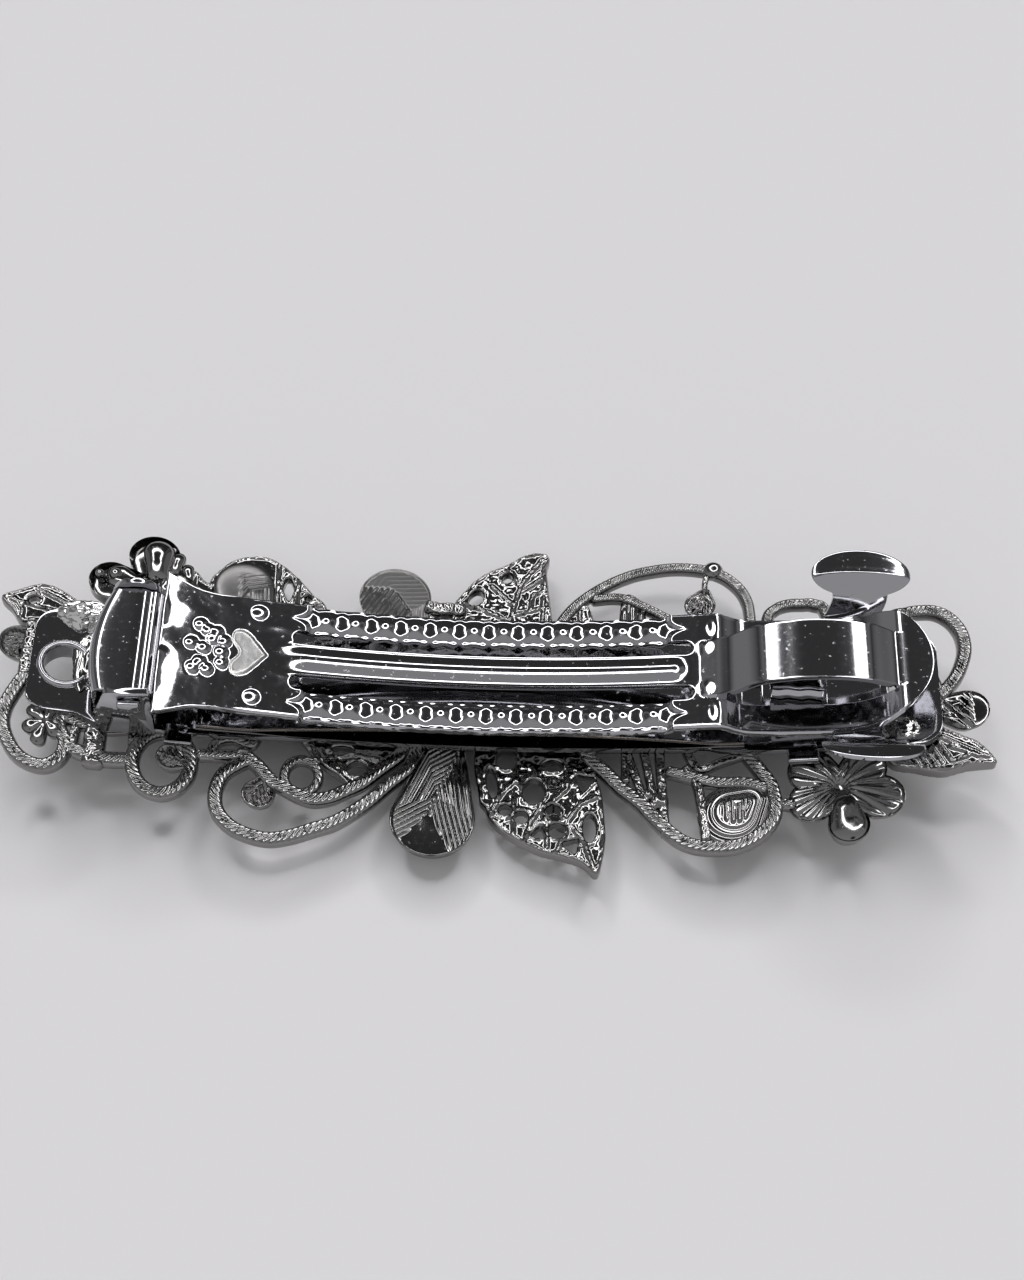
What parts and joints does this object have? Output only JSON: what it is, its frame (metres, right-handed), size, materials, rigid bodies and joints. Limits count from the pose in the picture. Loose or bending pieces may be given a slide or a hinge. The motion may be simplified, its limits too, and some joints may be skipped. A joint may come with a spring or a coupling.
{
  "type": "hair barrette with filigree plaque",
  "caption": "Automatic hair barrette lying face down: cast filigree plaque with a hinged, embossed clasp arm, bow spring and finger-tab latch on its back.",
  "frame": {"origin": "middle of the clip's box in plan, on the level that the plaque's front rests on", "axes": "+X along the clip from hinge to latch, +Y away from the camera across the clip, +Z from the plaque's front to the clasp"},
  "size_m": [0.0771, 0.03, 0.0121],
  "materials": {
    "plated_casting": "cast zinc alloy with dark gunmetal plating, mirror bright on the ribs and matt in the grooves",
    "plated_sheet": "pressed steel sheet with mirror gunmetal plating and fine scratches"
  },
  "bodies": {
    "clip": {"filigree": "plated_casting", "base_plate": "plated_sheet", "bow_spring": "plated_sheet", "latch_spring": "plated_sheet"},
    "arm": {"arm": "plated_sheet"}
  },
  "joints": [
    {"name": "arm_hinge", "type": "hinge", "parent": "clip", "child": "arm", "pos_m": [-0.02695, 0.00015, 0.0094], "axis": [0, -1, 0], "range_deg": [0, 80]}
  ]
}
